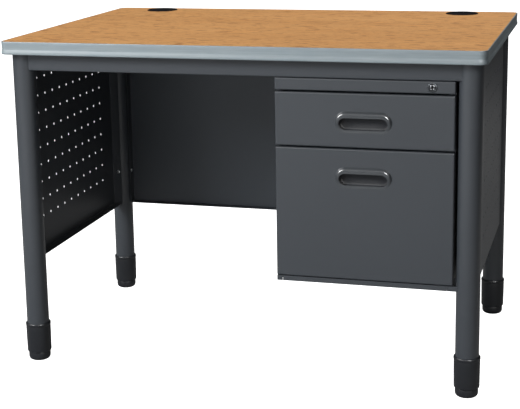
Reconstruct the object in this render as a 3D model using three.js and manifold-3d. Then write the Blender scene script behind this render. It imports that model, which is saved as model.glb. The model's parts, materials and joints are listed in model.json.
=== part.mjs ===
// Single-pedestal teacher desk. Millimetres, +X to the sitter's right, +Y to the back, +Z up.
// The origin is on the floor under the middle of the desktop.
import * as THREE from 'three';
import { mergeVertices } from 'three/addons/utils/BufferGeometryUtils.js';
import Module from 'manifold-3d';

const wasm = await Module();
wasm.setup();

// ---------- driving dimensions ----------
const TOP_WIDTH = 1067;
const TOP_DEPTH = 749;
const TOP_HEIGHT = 749;
const TOP_THICKNESS = 28.6;
const LAMINATE = 1;
const CLEAR_HALF = 330;
const CLEAR_FRONT_Y = -300;
const CLEAR_BACK_Y = 240;
const BAND = 3;
const CORNER_RADIUS = 20;

const LEG_RADIUS = 25.4;
const LEG_WALL = 1.6;
const LEG_X = 496.5;
const LEG_FRONT_Y = -324.5;
const LEG_REAR_Y = 235.5;
const CAP_TOP = 90;
const CAP_BOTTOM = 21;
const CAP_FLOOR = 33;
const GLIDE_RADIUS = 25;
const GLIDE_STEM_RADIUS = 5;
const GLIDE_STEM_TOP = 75;

const SHEET = 1.2;
const GAP = 0.3;
const FRONT_Y = -342.5;
const APRON_BOTTOM = 682;
const APRON_BACK_Y = -318;
const APRON_HALF = 484;
const PANEL_BOTTOM = 240;
const PANEL_OFFSET = 15;
const PANEL_FLANGE = 23;
const MODESTY_Y = 249.5;
const MODESTY_FLANGE_Y = 226;
const HOLE_RADIUS = 3;
const HOLE_COLUMNS = 11;
const HOLE_ROWS = 9;
const HOLE_PITCH_Y = 40.9;
const HOLE_PITCH_Z = 41;
const HOLE_FIRST_Y = -273.5;
const HOLE_FIRST_Z = 320;
const SCREW_Z = 327;
const SCREW_HOLE = 2.6;

const PED_LEFT = 85;
const PED_RIGHT = 466;
const PED_BOTTOM = 235;
const PED_TOP = 681;
const PED_SIDE_FRONT = -322;
const PED_BACK = 197;
const PED_TOP_FRONT = -317.5;
const POST_WIDTH = 11;
const FOOT_RAIL_TOP = 246;
const FOOT_RAIL_Y = -340;
const BRACKET_BACK_Y = -326;
const BOX_NOTCH = 20;
const FILE_NOTCH = 25;

const FRONT_BACK_Y = -323.5;
const STRIP = { bottom: 655, top: 680.6 };
const BOX_FRONT = { bottom: 535.5, top: 651 };
const FILE_FRONT = { bottom: 247.5, top: 532 };
const PULL_DROP = 61;
const PULL_X = 275.5;
const PULL_RIM = { width: 121, height: 46 };
const PULL_MOUTH = { width: 104.5, height: 27 };
const PULL_MOUTH_DROP = 3.8;
const PULL_WALL = 1.75;
const PULL_BACK_Y = -326.5;
const TRAY_SIDE_GAP = 13;
const TRAY_BACK_Y = 170;
const BOX_TRAY = { bottom: 545, top: 632 };
const FILE_TRAY = { bottom: 258, top: 505 };
const RAIL_HALF_SPAN = 155;
const RAIL_THICKNESS = 3;
const RAIL_HEIGHT = 14;
const BOX_SLIDE_Z = 585;
const FILE_SLIDE_Z = 330;
const SLIDE_FRONT_Y = -316;
const SLIDE_BACK_Y = 168;
const SLIDE_SHEET = 1.5;

const LOCK_X = 419;
const LOCK_Z = 668;
const CRANK = 12;
const HOUSING_BACK_Y = -319;
const PLUG_RADIUS = 6.4;
const PLUG_BACK_Y = -316;
const ROD_RADIUS = 3;
const CRANK_Y = 190;
const CRANK_THICKNESS = 2;
const BAR_Y = 193;
const BAR_THICKNESS = 2;
const BAR_BOTTOM = 262;
const BAR_WIDTH = 14;
const HOOK_FRONT_Y = 184;
const HOOKS = [560, 400];
const GUIDES = [['upper', 600], ['lower', 300]];

const GROMMET_X = 398;
const GROMMET_Y = 322;
const GROMMET_HOLE = 35;
const CABLE_SLOT = 18;

// ---------- materials ----------
const material = (hex, metalness, roughness) =>
  new THREE.MeshStandardMaterial({ color: hex, metalness, roughness });
const WOOD = material(0xbe9162, 0, 0.55);
const CORE = material(0xa98c66, 0, 0.9);
const EDGE = material(0x9dabb2, 0, 0.5);
const STEEL = material(0x4c5155, 0.3, 0.5);
const BLACK = material(0x26292c, 0, 0.5);
const ZINC = material(0xb4b8ba, 0.9, 0.35);

// ---------- geometry helpers ----------
const desk = new THREE.Group();
desk.name = 'teacher_desk';

function clean(geometry) {
  const g = geometry.clone();
  g.deleteAttribute('normal');
  g.deleteAttribute('uv');
  return mergeVertices(g, 1e-5);
}

function solid(geometry) {
  const g = clean(geometry);
  return new wasm.Manifold(new wasm.Mesh({
    numProp: 3,
    vertProperties: Float32Array.from(g.attributes.position.array),
    triVerts: Uint32Array.from(g.index.array),
  }));
}

function geometryOf(manifold) {
  const mesh = manifold.getMesh();
  const g = new THREE.BufferGeometry();
  g.setAttribute('position', new THREE.BufferAttribute(mesh.vertProperties, 3));
  g.setIndex(new THREE.BufferAttribute(mesh.triVerts, 1));
  return g;
}

function put(name, shape, mat) {
  const raw = shape.isBufferGeometry ? clean(shape) : geometryOf(shape);
  const g = raw.toNonIndexed();
  g.computeVertexNormals();
  const mesh = new THREE.Mesh(g, mat);
  mesh.name = name;
  desk.add(mesh);
  return mesh;
}

function box(x0, x1, y0, y1, z0, z1) {
  const g = new THREE.BoxGeometry(Math.abs(x1 - x0), y1 - y0, z1 - z0);
  g.translate((x0 + x1) / 2, (y0 + y1) / 2, (z0 + z1) / 2);
  return g;
}

function cut(base, ...tools) {
  return tools.reduce((left, tool) => left.subtract(solid(tool)), solid(base));
}

// A turned shape: profile points are [radius, height along the axis].
function turned(profile, segments, closed) {
  const points = profile.map(([r, h]) => new THREE.Vector2(r, h));
  if (closed) {
    points.push(points[0].clone());
  }
  return new THREE.LatheGeometry(points, segments);
}

// The lathe's axis is Y: turn it up to Z, or forward so that its height runs along +Y or +-X.
function turnedUp(profile, segments, closed, x, y) {
  const g = turned(profile, segments, closed);
  g.rotateX(Math.PI / 2);
  g.translate(x, y, 0);
  return g;
}

function turnedBack(profile, segments, closed, x, z) {
  const g = turned(profile, segments, closed);
  g.translate(x, 0, z);
  return g;
}

function rod(radius, length, segments) {
  return new THREE.CylinderGeometry(radius, radius, length, segments);
}

function rodZ(radius, x, y, z0, z1, segments) {
  const g = rod(radius, z1 - z0, segments);
  g.rotateX(Math.PI / 2);
  g.translate(x, y, (z0 + z1) / 2);
  return g;
}

function rodY(radius, x, z, y0, y1, segments) {
  const g = rod(radius, y1 - y0, segments);
  g.translate(x, (y0 + y1) / 2, z);
  return g;
}

function rodX(radius, y, z, x0, x1, segments) {
  const g = rod(radius, Math.abs(x1 - x0), segments);
  g.rotateZ(Math.PI / 2);
  g.translate((x0 + x1) / 2, y, z);
  return g;
}

// A cross-section in X-Z, extruded along Y.
function profileAlongY(points, y0, y1) {
  const shape = new THREE.Shape(points.map(([x, z]) => new THREE.Vector2(x, z)));
  const g = new THREE.ExtrudeGeometry(shape, { depth: y1 - y0, bevelEnabled: false });
  g.rotateX(Math.PI / 2);
  g.translate(0, y1, 0);
  return g;
}

// A level slot shape with round ends, standing in X-Z and extruded along Y.
function stadium(width, height, x, z, y0, y1) {
  const r = height / 2;
  const half = width / 2 - r;
  const points = [];
  for (let i = 0; i <= 10; i += 1) {
    const a = -Math.PI / 2 + (Math.PI * i) / 10;
    points.push([x + half + r * Math.cos(a), z + r * Math.sin(a)]);
  }
  for (let i = 0; i <= 10; i += 1) {
    const a = Math.PI / 2 + (Math.PI * i) / 10;
    points.push([x - half + r * Math.cos(a), z + r * Math.sin(a)]);
  }
  return profileAlongY(points, y0, y1);
}

// Outline of the desktop, moved inwards by a distance.
function outline(inset) {
  const points = [];
  const r = CORNER_RADIUS - inset;
  const cx = TOP_WIDTH / 2 - CORNER_RADIUS;
  const cy = TOP_DEPTH / 2 - CORNER_RADIUS;
  const corners = [[cx, -cy, -90], [cx, cy, 0], [-cx, cy, 90], [-cx, -cy, 180]];
  for (const [x, y, start] of corners) {
    for (let i = 0; i <= 8; i += 1) {
      const a = ((start + (90 * i) / 8) * Math.PI) / 180;
      points.push([x + r * Math.cos(a), y + r * Math.sin(a)]);
    }
  }
  return points;
}

// ---------- desktop ----------
const TOP_UNDER = TOP_HEIGHT - TOP_THICKNESS;
const GROMMETS = [['left', -GROMMET_X], ['right', GROMMET_X]];

function topSlab(z0, z1) {
  const shape = new THREE.Shape(outline(BAND).map(([x, y]) => new THREE.Vector2(x, y)));
  const g = new THREE.ExtrudeGeometry(shape, { depth: z1 - z0, bevelEnabled: false });
  g.translate(0, 0, z0);
  const holes = GROMMETS.map(([, x]) => rodZ(GROMMET_HOLE, x, GROMMET_Y, z0 - 5, z1 + 5, 32));
  return cut(g, ...holes);
}

put('desktop_core', topSlab(TOP_UNDER, TOP_HEIGHT - LAMINATE), CORE);

// The laminate is one sheet, faced as a plain rectangle in the middle and a border filled round
// it, so that the working area is a clean flat face away from the grommets.
function laminateSheet(z0, z1) {
  const toVector = ([x, y]) => new THREE.Vector2(x, y);
  const edge = outline(BAND).map(toVector);
  const holes = GROMMETS.map(([, x]) => Array.from({ length: 32 }, (_, i) => {
    const a = (2 * Math.PI * i) / 32;
    return toVector([x + GROMMET_HOLE * Math.cos(a), GROMMET_Y + GROMMET_HOLE * Math.sin(a)]);
  }));
  const middle = [
    [-CLEAR_HALF, CLEAR_FRONT_Y], [CLEAR_HALF, CLEAR_FRONT_Y],
    [CLEAR_HALF, CLEAR_BACK_Y], [-CLEAR_HALF, CLEAR_BACK_Y],
  ].map(toVector);
  const points = [edge, ...holes, middle].flat();
  const count = points.length;
  const m = count - middle.length;
  const faces = THREE.ShapeUtils.triangulateShape(edge, [...holes, middle]);
  faces.push([m, m + 1, m + 2], [m, m + 2, m + 3]);
  const index = [];
  for (const [a, b, c] of faces) {
    const [p, q, r] = [points[a], points[b], points[c]];
    const turn = (q.x - p.x) * (r.y - p.y) - (q.y - p.y) * (r.x - p.x);
    const [u, v] = turn > 0 ? [b, c] : [c, b];
    index.push(a + count, u + count, v + count, a, v, u);
  }
  let start = 0;
  for (const [k, loop] of [edge, ...holes].entries()) {
    for (let i = 0; i < loop.length; i += 1) {
      const here = start + i;
      const next = start + ((i + 1) % loop.length);
      const [a, b] = k === 0 ? [here, next] : [next, here];
      index.push(a, b, b + count, a, b + count, a + count);
    }
    start += loop.length;
  }
  const positions = [z0, z1].flatMap((z) => points.flatMap(({ x, y }) => [x, y, z]));
  const g = new THREE.BufferGeometry();
  g.setAttribute('position', new THREE.BufferAttribute(Float32Array.from(positions), 3));
  g.setIndex(index);
  return g;
}
put('desktop_laminate', laminateSheet(TOP_HEIGHT - LAMINATE, TOP_HEIGHT), WOOD);

// The edge band is one strip run round the desktop: flat above, a shallow groove, a bead below.
function edgeBand() {
  const section = [
    [BAND, TOP_UNDER], [0.9, TOP_UNDER], [0, TOP_UNDER + 2.2], [0, TOP_UNDER + 6.5],
    [0.3, TOP_UNDER + 9.4], [1.5, TOP_UNDER + 10.6], [0.8, TOP_UNDER + 11.8],
    [0.8, TOP_HEIGHT - 0.9], [1.6, TOP_HEIGHT], [BAND, TOP_HEIGHT],
  ];
  const rings = section.map(([inset, z]) => outline(inset).map(([x, y]) => [x, y, z]));
  const around = rings[0].length;
  const positions = rings.flat(2);
  const index = [];
  for (let s = 0; s < rings.length; s += 1) {
    const t = (s + 1) % rings.length;
    for (let i = 0; i < around; i += 1) {
      const j = (i + 1) % around;
      const a = s * around + i;
      const b = s * around + j;
      const c = t * around + j;
      const d = t * around + i;
      index.push(a, b, c, a, c, d);
    }
  }
  const g = new THREE.BufferGeometry();
  g.setAttribute('position', new THREE.BufferAttribute(Float32Array.from(positions), 3));
  g.setIndex(index);
  return g;
}
put('edge_band', edgeBand(), EDGE);

// Each grommet is a flanged sleeve in the desktop and a cap that turns on a ledge inside it.
const LEDGE_Z = TOP_HEIGHT - 1.4;
const GROMMET_TOP = TOP_HEIGHT + 2;
for (const [side, x] of GROMMETS) {
  const sleeve = [
    [34.5, TOP_UNDER + 1.6], [34.5, TOP_HEIGHT], [40, TOP_HEIGHT], [40, TOP_HEIGHT + 1],
    [38.6, GROMMET_TOP], [32.6, GROMMET_TOP], [32.6, LEDGE_Z], [30.6, LEDGE_Z],
    [30.6, TOP_UNDER + 1.6],
  ];
  put(`${side}_grommet_sleeve`, turnedUp(sleeve, 32, true, x, GROMMET_Y), BLACK);
  const disc = rodZ(32.2, x, GROMMET_Y, LEDGE_Z, GROMMET_TOP - 0.4, 32);
  const slotY = GROMMET_Y + CABLE_SLOT;
  const half = CABLE_SLOT / 2;
  const slotEnd = rodZ(half, x, slotY, LEDGE_Z - 5, GROMMET_TOP + 5, 16);
  const slot = box(x - half, x + half, slotY, slotY + 22, LEDGE_Z - 5, GROMMET_TOP + 5);
  put(`${side}_grommet_cap`, cut(disc, slotEnd, slot), BLACK);
}

// ---------- legs, foot caps and leveling glides ----------
const LEGS = [
  ['front_left', -LEG_X, LEG_FRONT_Y], ['front_right', LEG_X, LEG_FRONT_Y],
  ['rear_left', -LEG_X, LEG_REAR_Y], ['rear_right', LEG_X, LEG_REAR_Y],
];
for (const [corner, x, y] of LEGS) {
  const inner = LEG_RADIUS - LEG_WALL;
  const tube = turnedUp([
    [LEG_RADIUS, CAP_FLOOR], [LEG_RADIUS, TOP_UNDER], [inner, TOP_UNDER], [inner, CAP_FLOOR],
  ], 32, true, x, y);
  if (y === LEG_REAR_Y) {
    const inward = -Math.sign(x);
    const panelHole = rodY(SCREW_HOLE, x, SCREW_Z, y - 30, y - 15, 10);
    const modestyHole = rodX(SCREW_HOLE, y, SCREW_Z, x + 15 * inward, x + 30 * inward, 10);
    put(`${corner}_leg`, cut(tube, panelHole, modestyHole), STEEL);
  } else {
    put(`${corner}_leg`, tube, STEEL);
  }
  const cap = [
    [27.5, CAP_BOTTOM], [28.2, CAP_TOP - 8.5], [28.75, CAP_TOP - 6.5], [28.75, CAP_TOP - 2],
    [27.8, CAP_TOP], [LEG_RADIUS + GAP, CAP_TOP], [LEG_RADIUS + GAP, CAP_FLOOR],
    [GLIDE_STEM_RADIUS + GAP, CAP_FLOOR], [GLIDE_STEM_RADIUS + GAP, CAP_BOTTOM],
  ];
  put(`${corner}_foot_cap`, turnedUp(cap, 24, true, x, y), BLACK);
  const glide = [
    [0, 0], [17, 0], [20.6, 0.9], [23.2, 3.2], [24.6, 6.2], [GLIDE_RADIUS, 9.5],
    [GLIDE_RADIUS, CAP_BOTTOM - 0.5], [GLIDE_STEM_RADIUS, CAP_BOTTOM - 0.5],
    [GLIDE_STEM_RADIUS, GLIDE_STEM_TOP], [0, GLIDE_STEM_TOP],
  ];
  put(`${corner}_leveling_glide`, turnedUp(glide, 24, false, x, y), BLACK);
}

// ---------- apron, side panels, modesty panel ----------
const apronBlank = box(-APRON_HALF, APRON_HALF, FRONT_Y, APRON_BACK_Y, APRON_BOTTOM, TOP_UNDER);
const apronHollow = box(
  -APRON_HALF - 10, APRON_HALF + 10, FRONT_Y + SHEET, APRON_BACK_Y + 5,
  APRON_BOTTOM + SHEET, TOP_UNDER - SHEET,
);
const legSleeves = LEGS.slice(0, 2).map(
  ([, x, y]) => rodZ(LEG_RADIUS + GAP, x, y, APRON_BOTTOM - 10, TOP_UNDER + 10, 32),
);
put('front_apron', cut(apronBlank, apronHollow, ...legSleeves), STEEL);

function sidePanel(sign) {
  const inner = sign * (LEG_X + PANEL_OFFSET);
  const outer = inner + sign * SHEET;
  const lip = inner - sign * PANEL_FLANGE;
  const y0 = LEG_FRONT_Y + LEG_RADIUS + 0.5;
  const y1 = LEG_REAR_Y - LEG_RADIUS - 0.5;
  const blank = box(outer, lip, y0, y1, PANEL_BOTTOM, TOP_UNDER);
  const hollow = box(
    inner, lip - sign * 5, y0 + SHEET, y1 - SHEET, PANEL_BOTTOM + SHEET, TOP_UNDER - SHEET,
  );
  const holes = [];
  for (let c = 0; c < HOLE_COLUMNS; c += 1) {
    for (let r = 0; r < HOLE_ROWS; r += 1) {
      const y = HOLE_FIRST_Y + c * HOLE_PITCH_Y;
      const z = HOLE_FIRST_Z + r * HOLE_PITCH_Z;
      holes.push(rodX(HOLE_RADIUS, y, z, inner - 3, inner + 3, 6));
    }
  }
  const screwHole = rodY(SCREW_HOLE, sign * LEG_X, SCREW_Z, y1 - 5, y1 + 5, 10);
  return cut(blank, hollow, screwHole, ...holes);
}
put('left_side_panel', sidePanel(-1), STEEL);
put('right_side_panel', sidePanel(1), STEEL);

const MODESTY_HALF = LEG_X - LEG_RADIUS - 0.5;
const modestyBlank = box(
  -MODESTY_HALF, MODESTY_HALF, MODESTY_FLANGE_Y, MODESTY_Y + SHEET, PANEL_BOTTOM, TOP_UNDER,
);
const modestyHollow = box(
  -MODESTY_HALF + SHEET, MODESTY_HALF - SHEET, MODESTY_FLANGE_Y - 5, MODESTY_Y,
  PANEL_BOTTOM + SHEET, TOP_UNDER - SHEET,
);
const modestyHole = rodX(
  SCREW_HOLE, LEG_REAR_Y, SCREW_Z, -MODESTY_HALF - 5, MODESTY_HALF + 5, 10,
);
put('modesty_panel', cut(modestyBlank, modestyHollow, modestyHole), STEEL);

// ---------- screws on the rear legs ----------
function screw(seat) {
  return [
    [0, seat - 2.4], [2.6, seat - 2.3], [4.2, seat - 1.2], [4.6, seat], [2.3, seat],
    [2.3, seat + 7], [0, seat + 7],
  ];
}
const PANEL_SEAT = LEG_REAR_Y - LEG_RADIUS - 0.5 - SHEET;
for (const [side, sign] of [['left', -1], ['right', 1]]) {
  put(`${side}_panel_screw`, turnedBack(screw(PANEL_SEAT), 12, false, sign * LEG_X, SCREW_Z), ZINC);
  const g = turned(screw(MODESTY_HALF - SHEET), 12, false);
  g.rotateZ(-sign * Math.PI / 2);
  g.translate(0, LEG_REAR_Y, SCREW_Z);
  put(`${side}_modesty_screw`, g, ZINC);
}

// ---------- pedestal case ----------
const PED_IN_LEFT = PED_LEFT + SHEET;
const PED_IN_RIGHT = PED_RIGHT - SHEET;

function pedestalSide(sign) {
  const outer = sign < 0 ? PED_LEFT : PED_RIGHT;
  const inner = sign < 0 ? PED_IN_LEFT : PED_IN_RIGHT;
  const post = inner - sign * POST_WIDTH;
  const far = inner - sign * 60;
  const blank = box(outer, post, FOOT_RAIL_Y, PED_BACK, PED_BOTTOM, TOP_UNDER);
  const hollow = box(
    inner, far, PED_SIDE_FRONT + SHEET, PED_BACK + 5, PED_BOTTOM - 5, TOP_UNDER + 5,
  );
  const footHollow = box(
    inner, far, FOOT_RAIL_Y + SHEET, PED_SIDE_FRONT + 5, PED_BOTTOM - 5, FOOT_RAIL_TOP + 5,
  );
  const frontClear = box(
    outer + sign * 5, far, FOOT_RAIL_Y - 5, PED_SIDE_FRONT, FOOT_RAIL_TOP, TOP_UNDER + 5,
  );
  const apronClear = box(
    outer + sign * 5, far, FOOT_RAIL_Y - 5, PED_TOP_FRONT, PED_TOP, TOP_UNDER + 5,
  );
  const notches = [[BOX_SLIDE_Z, BOX_NOTCH], [FILE_SLIDE_Z, FILE_NOTCH]].map(
    ([z, half]) => box(inner, far, FOOT_RAIL_Y - 5, PED_SIDE_FRONT + 5, z - half, z + half),
  );
  return cut(blank, hollow, footHollow, frontClear, apronClear, ...notches);
}
put('pedestal_left_side', pedestalSide(-1), STEEL);
put('pedestal_right_side', pedestalSide(1), STEEL);
put('pedestal_back', box(
  PED_IN_LEFT, PED_IN_RIGHT, PED_BACK - SHEET, PED_BACK, PED_BOTTOM, TOP_UNDER,
), STEEL);
put('pedestal_top', box(
  PED_IN_LEFT, PED_IN_RIGHT, PED_TOP_FRONT, PED_BACK - SHEET, TOP_UNDER - SHEET, TOP_UNDER,
), STEEL);

const PAN_LEFT = PED_IN_LEFT + POST_WIDTH + 0.8;
const PAN_RIGHT = PED_IN_RIGHT - POST_WIDTH - 0.8;
const panBlank = box(
  PED_IN_LEFT, PED_IN_RIGHT, FOOT_RAIL_Y, PED_BACK - SHEET, PED_BOTTOM, FOOT_RAIL_TOP,
);
const panHollow = box(
  PED_IN_LEFT - 5, PED_IN_RIGHT + 5, FOOT_RAIL_Y + SHEET, PED_BACK - 2 * SHEET,
  PED_BOTTOM + SHEET, FOOT_RAIL_TOP + 5,
);
const panCorners = [
  box(
    PED_IN_LEFT - 5, PAN_LEFT, FOOT_RAIL_Y - 5, PED_SIDE_FRONT + 4,
    PED_BOTTOM - 5, FOOT_RAIL_TOP + 15,
  ),
  box(
    PAN_RIGHT, PED_IN_RIGHT + 5, FOOT_RAIL_Y - 5, PED_SIDE_FRONT + 4,
    PED_BOTTOM - 5, FOOT_RAIL_TOP + 15,
  ),
];
put('pedestal_bottom', cut(panBlank, panHollow, ...panCorners), STEEL);

// The angle that carries the foot rail across to the front right leg.
const bracketBlank = box(PED_RIGHT, LEG_X, FOOT_RAIL_Y, BRACKET_BACK_Y, PED_BOTTOM, FOOT_RAIL_TOP);
const bracketHollow = box(
  PED_RIGHT - 5, LEG_X + 5, FOOT_RAIL_Y + SHEET, BRACKET_BACK_Y + 5,
  PED_BOTTOM + SHEET, FOOT_RAIL_TOP + 5,
);
const bracketCope = rodZ(
  LEG_RADIUS + GAP, LEG_X, LEG_FRONT_Y, PED_BOTTOM - 5, FOOT_RAIL_TOP + 5, 32,
);
put('pedestal_leg_bracket', cut(bracketBlank, bracketHollow, bracketCope), STEEL);

// ---------- lock strip and lock ----------
const stripBlank = box(PED_LEFT, PED_RIGHT, FRONT_Y, PED_SIDE_FRONT, STRIP.bottom, STRIP.top);
const stripHollow = box(
  PED_IN_LEFT, PED_IN_RIGHT, FRONT_Y + SHEET, PED_SIDE_FRONT + 5,
  STRIP.bottom + SHEET, STRIP.top - SHEET,
);
const lockHole = rodY(9.2, LOCK_X, LOCK_Z, FRONT_Y - 5, PED_SIDE_FRONT + 5, 24);
put('lock_strip', cut(stripBlank, stripHollow, lockHole), STEEL);

put('lock_housing', turnedBack([
  [6.5, FRONT_Y - 2.2], [9, FRONT_Y - 2.2], [10, FRONT_Y - 1.2], [10, FRONT_Y],
  [8.8, FRONT_Y], [8.8, HOUSING_BACK_Y], [6.5, HOUSING_BACK_Y],
], 24, true, LOCK_X, LOCK_Z), ZINC);
const plug = rodY(PLUG_RADIUS, LOCK_X, LOCK_Z, FRONT_Y - 2.6, PLUG_BACK_Y, 24);
const keyway = box(
  LOCK_X - 0.9, LOCK_X + 0.9, FRONT_Y - 8, FRONT_Y + 6, LOCK_Z - 4.2, LOCK_Z + 4.2,
);
put('lock_plug', cut(plug, keyway), ZINC);
put('lock_rod', rodY(ROD_RADIUS, LOCK_X, LOCK_Z, PLUG_BACK_Y, CRANK_Y, 12), ZINC);

const crankArm = solid(box(
  LOCK_X - CRANK - 4, LOCK_X + 5, CRANK_Y, CRANK_Y + CRANK_THICKNESS, LOCK_Z - 4, LOCK_Z + 4,
));
const crankPin = solid(rodY(2.5, LOCK_X - CRANK, LOCK_Z, CRANK_Y + 1, CRANK_Y + 5.4, 12));
put('lock_crank', crankArm.add(crankPin), ZINC);

const BAR_BACK_Y = BAR_Y + BAR_THICKNESS;
const barHead = solid(box(LOCK_X - 22, LOCK_X + 8, BAR_Y, BAR_BACK_Y, LOCK_Z - 13, LOCK_Z + 13));
const barStem = solid(box(LOCK_X - BAR_WIDTH, LOCK_X, BAR_Y, BAR_BACK_Y, BAR_BOTTOM, LOCK_Z - 12));
const barHooks = HOOKS.map(
  (z) => solid(box(LOCK_X - BAR_WIDTH, LOCK_X, HOOK_FRONT_Y, BAR_Y + 1, z, z + BAR_THICKNESS)),
);
const barSlot = solid(
  box(LOCK_X - 17.5, LOCK_X + 3.5, BAR_Y - 3, BAR_BACK_Y + 3, LOCK_Z - 6, LOCK_Z + 6),
);
const bar = barHooks.reduce((sum, hook) => sum.add(hook), barHead.add(barStem));
put('lock_bar', bar.subtract(barSlot), ZINC);
for (const [name, z] of GUIDES) {
  const clip = box(
    LOCK_X - BAR_WIDTH - 3, LOCK_X + 3, BAR_Y - 2.5, PED_BACK - SHEET, z, z + 14,
  );
  const way = box(
    LOCK_X - BAR_WIDTH - 0.6, LOCK_X + 0.6, BAR_Y - 0.6, PED_BACK + 5, z - 5, z + 20,
  );
  put(`${name}_bar_guide`, cut(clip, way), ZINC);
}

// ---------- drawers ----------
function drawerFront({ bottom, top }) {
  const mouthZ = top - PULL_DROP - PULL_MOUTH_DROP;
  const blank = box(PED_LEFT, PED_RIGHT, FRONT_Y, FRONT_BACK_Y, bottom, top);
  const hollow = box(
    PED_IN_LEFT, PED_IN_RIGHT, FRONT_Y + SHEET, FRONT_BACK_Y + 5, bottom + SHEET, top - SHEET,
  );
  const hole = stadium(
    PULL_MOUTH.width + 2 * PULL_WALL + 0.6, PULL_MOUTH.height + 2 * PULL_WALL + 0.6,
    PULL_X, mouthZ, FRONT_Y - 5, FRONT_Y + 5,
  );
  return cut(blank, hollow, hole);
}

// A pull is a cup set into the front, under a hood that leans out above its mouth.
function pull({ top }) {
  const z = top - PULL_DROP;
  const mouthZ = z - PULL_MOUTH_DROP;
  const rim = solid(stadium(PULL_RIM.width, PULL_RIM.height, PULL_X, z, FRONT_Y - 9, FRONT_Y));
  const lean = new THREE.Shape([
    [FRONT_Y, 25], [FRONT_Y - 2.5, 22.5], [FRONT_Y - 6, 18], [FRONT_Y - 7.5, 12.5],
    [FRONT_Y - 7, 9], [FRONT_Y - 2, -8], [FRONT_Y - 1, -22], [FRONT_Y, -25],
  ].map(([y, dz]) => new THREE.Vector2(y, z + dz)));
  const wedge = new THREE.ExtrudeGeometry(lean, { depth: 140, bevelEnabled: false });
  wedge.rotateX(Math.PI / 2);
  wedge.rotateZ(Math.PI / 2);
  wedge.translate(PULL_X - 70, 0, 0);
  const cup = solid(stadium(
    PULL_MOUTH.width + 2 * PULL_WALL, PULL_MOUTH.height + 2 * PULL_WALL,
    PULL_X, mouthZ, FRONT_Y - 0.5, PULL_BACK_Y,
  ));
  const mouth = solid(stadium(
    PULL_MOUTH.width, PULL_MOUTH.height, PULL_X, mouthZ, FRONT_Y - 20, PULL_BACK_Y - PULL_WALL,
  ));
  return rim.intersect(solid(wedge)).add(cup).subtract(mouth);
}

const TRAY_LEFT = PED_IN_LEFT + TRAY_SIDE_GAP;
const TRAY_RIGHT = PED_IN_RIGHT - TRAY_SIDE_GAP;
function tray({ bottom, top }) {
  const blank = box(TRAY_LEFT, TRAY_RIGHT, FRONT_BACK_Y, TRAY_BACK_Y, bottom, top);
  const hollow = box(
    TRAY_LEFT + SHEET, TRAY_RIGHT - SHEET, FRONT_BACK_Y + SHEET, TRAY_BACK_Y - SHEET,
    bottom + SHEET, top + 5,
  );
  return cut(blank, hollow);
}

put('box_drawer_front', drawerFront(BOX_FRONT), STEEL);
put('box_drawer_pull', pull(BOX_FRONT), STEEL);
put('box_drawer_tray', tray(BOX_TRAY), STEEL);
put('file_drawer_front', drawerFront(FILE_FRONT), STEEL);
put('file_drawer_pull', pull(FILE_FRONT), STEEL);
put('file_drawer_tray', tray(FILE_TRAY), STEEL);
for (const [side, sign] of [['left', -1], ['right', 1]]) {
  const x = PULL_X + sign * RAIL_HALF_SPAN;
  put(`${side}_hanging_rail`, box(
    x - RAIL_THICKNESS / 2, x + RAIL_THICKNESS / 2, FRONT_BACK_Y + SHEET, TRAY_BACK_Y - SHEET,
    FILE_TRAY.top - RAIL_HEIGHT, FILE_TRAY.top,
  ), ZINC);
}

// ---------- drawer slides ----------
// A slide member is a C-section: a web standing at one X and two flanges reaching to another.
function member(web, reach, half, z, thickness) {
  const s = Math.sign(reach - web);
  const t = s * thickness;
  return profileAlongY([
    [web, z - half], [reach, z - half],
    [reach, z - half + thickness], [web + t, z - half + thickness],
    [web + t, z + half - thickness], [reach, z + half - thickness],
    [reach, z + half], [web, z + half],
  ], SLIDE_FRONT_Y, SLIDE_BACK_Y);
}
for (const [side, wall, s] of [['left', PED_IN_LEFT, 1], ['right', PED_IN_RIGHT, -1]]) {
  const trayX = wall + s * TRAY_SIDE_GAP;
  const members = [
    [`box_slide_${side}_case_member`, wall, wall + 9 * s, 17.5, BOX_SLIDE_Z],
    [`box_slide_${side}_drawer_member`, trayX, trayX - 9 * s, 12, BOX_SLIDE_Z],
    [`file_slide_${side}_case_member`, wall, wall + 10 * s, 22.5, FILE_SLIDE_Z],
    [`file_slide_${side}_middle_member`, wall + 4 * s, wall + 9.5 * s, 17, FILE_SLIDE_Z],
    [`file_slide_${side}_drawer_member`, trayX, trayX - 5 * s, 11, FILE_SLIDE_Z],
  ];
  for (const [name, web, reach, half, z] of members) {
    put(name, member(web, reach, half, z, SLIDE_SHEET), ZINC);
  }
}

export default desk;
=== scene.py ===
# Looks for the single-pedestal teacher desk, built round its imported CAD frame.
# The scene is in metres. Shapes are worked out in mm; lights and camera are given in metres.
import json
import math

import bmesh
import bpy
from mathutils import Matrix, Vector


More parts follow.
